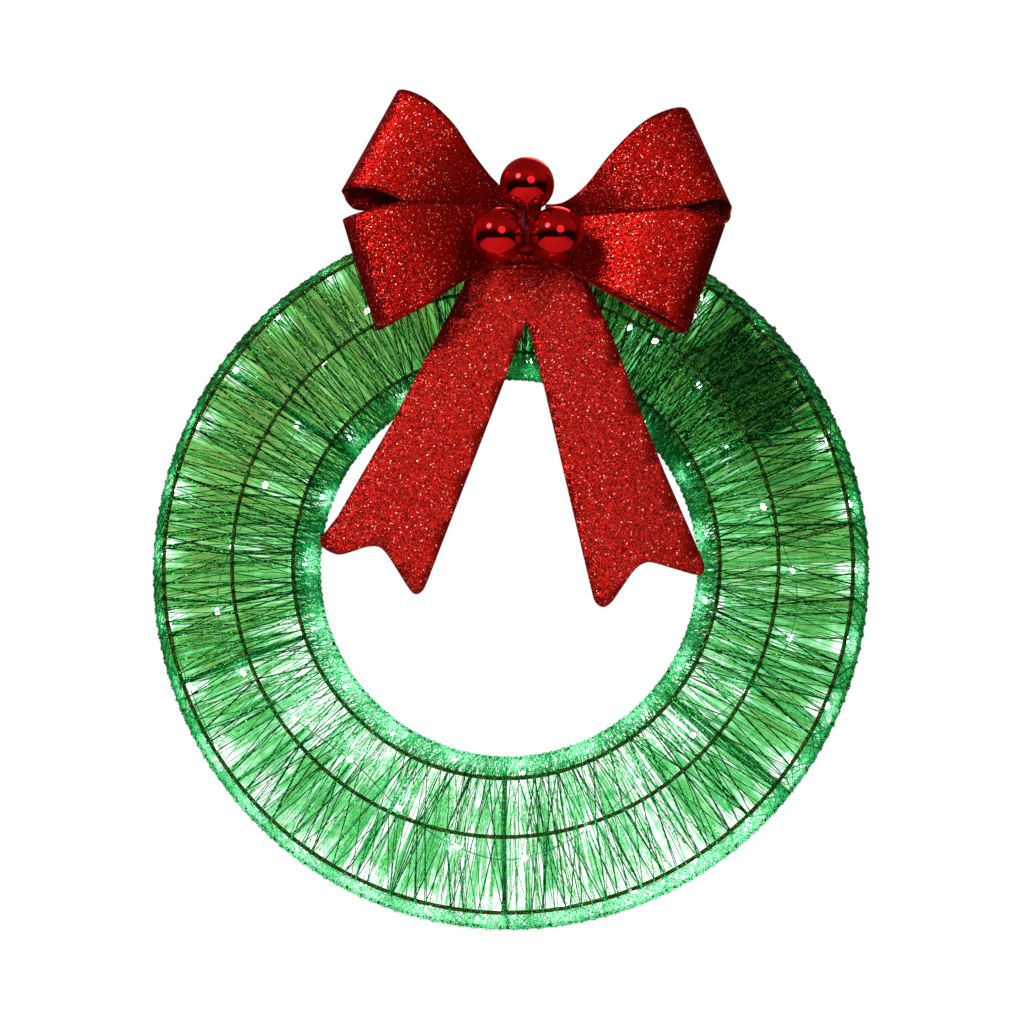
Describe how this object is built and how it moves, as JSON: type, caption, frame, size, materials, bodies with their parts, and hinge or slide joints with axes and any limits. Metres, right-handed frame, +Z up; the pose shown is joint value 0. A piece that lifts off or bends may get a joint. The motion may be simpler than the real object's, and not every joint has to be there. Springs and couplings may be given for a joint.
{
  "type": "lighted wreath on wire frame",
  "caption": "Round wire frame wound with open green tinsel thread, lit from inside by a battery light string, with a red glitter bow, tails and balls at the top.",
  "frame": {"origin": "centre of the hanging loop's eye, at the top of the back", "axes": "+Z up, -Y out of the wreath's front, +Y towards the door or wall, +X to the right seen from the front"},
  "size_m": [0.5516, 0.125, 0.6258],
  "materials": {
    "frame_wire": "dark green paint over wire, wound with thread",
    "tinsel": "dark and bright green metallic thread, wound open",
    "hanger_wire": "green coated soft wire",
    "string_lead": "clear lacquer over fine wire",
    "case_plastic": "dark olive green, fine texture",
    "button_plastic": "pale grey",
    "switch_body": "black",
    "board": "green resin board",
    "cell_jacket": "plain dark jacket with a bright end",
    "contact_metal": "bright nickel plate",
    "tie_plastic": "dark green nylon",
    "glitter_sheet": "stiff red sheet with coarse glitter",
    "ball_gloss": "red metallic mirror gloss",
    "cap_metal": "thin pressed cap",
    "tie_wire": "green coated soft wire",
    "light": "clear cast bead over a lit diode"
  },
  "bodies": {
    "wreath": {"back_outer_ring": "frame_wire", "front_outer_ring": "frame_wire", "crown_ring": "frame_wire", "front_inner_ring": "frame_wire", "back_inner_ring": "frame_wire", "arch_1": "frame_wire", "arch_2": "frame_wire", "arch_3": "frame_wire", "arch_4": "frame_wire", "arch_5": "frame_wire", "arch_6": "frame_wire", "strut_1": "frame_wire", "strut_2": "frame_wire", "strut_3": "frame_wire", "strut_4": "frame_wire", "strut_5": "frame_wire", "strut_6": "frame_wire", "winding_bay_1": "tinsel", "winding_bay_2": "tinsel", "winding_bay_3": "tinsel", "winding_bay_4": "tinsel", "winding_bay_5": "tinsel", "winding_bay_6": "tinsel", "hanging_loop": "hanger_wire", "string_wire": "string_lead", "light_beads": "light", "battery_case": "case_plastic", "electronics_lid": "case_plastic", "circuit_board": "board", "push_switch": "switch_body", "cell_1": "cell_jacket", "cell_2": "cell_jacket", "cell_3": "cell_jacket", "cell_spring_1": "contact_metal", "cell_spring_2": "contact_metal", "cell_spring_3": "contact_metal", "contact_link_1": "contact_metal", "contact_link_2": "contact_metal", "contact_plate_1": "contact_metal", "contact_plate_2": "contact_metal", "strut_tie_1": "tie_plastic", "strut_tie_2": "tie_plastic", "ring_tie": "tie_plastic", "bow_lobe_upper_left": "glitter_sheet", "bow_lobe_lower_left": "glitter_sheet", "bow_lobe_upper_right": "glitter_sheet", "bow_lobe_lower_right": "glitter_sheet", "bow_waist": "glitter_sheet", "bow_tails": "glitter_sheet", "bow_wire": "tie_wire", "ball_1": "ball_gloss", "ball_2": "ball_gloss", "ball_3": "ball_gloss", "ball_cap_1": "cap_metal", "ball_cap_2": "cap_metal", "ball_cap_3": "cap_metal"},
    "cover": {"battery_cover": "case_plastic"},
    "button": {"mode_button": "button_plastic", "switch_plunger": "button_plastic"}
  },
  "joints": [
    {"name": "cover_slide", "type": "slide", "parent": "wreath", "child": "cover", "axis": [0.6088, 0, -0.7934], "range_m": [0, 0.062]},
    {"name": "mode_press", "type": "slide", "parent": "wreath", "child": "button", "axis": [0, -1, 0], "range_m": [0, 0.0008], "stiffness_N_per_m": 1500}
  ]
}
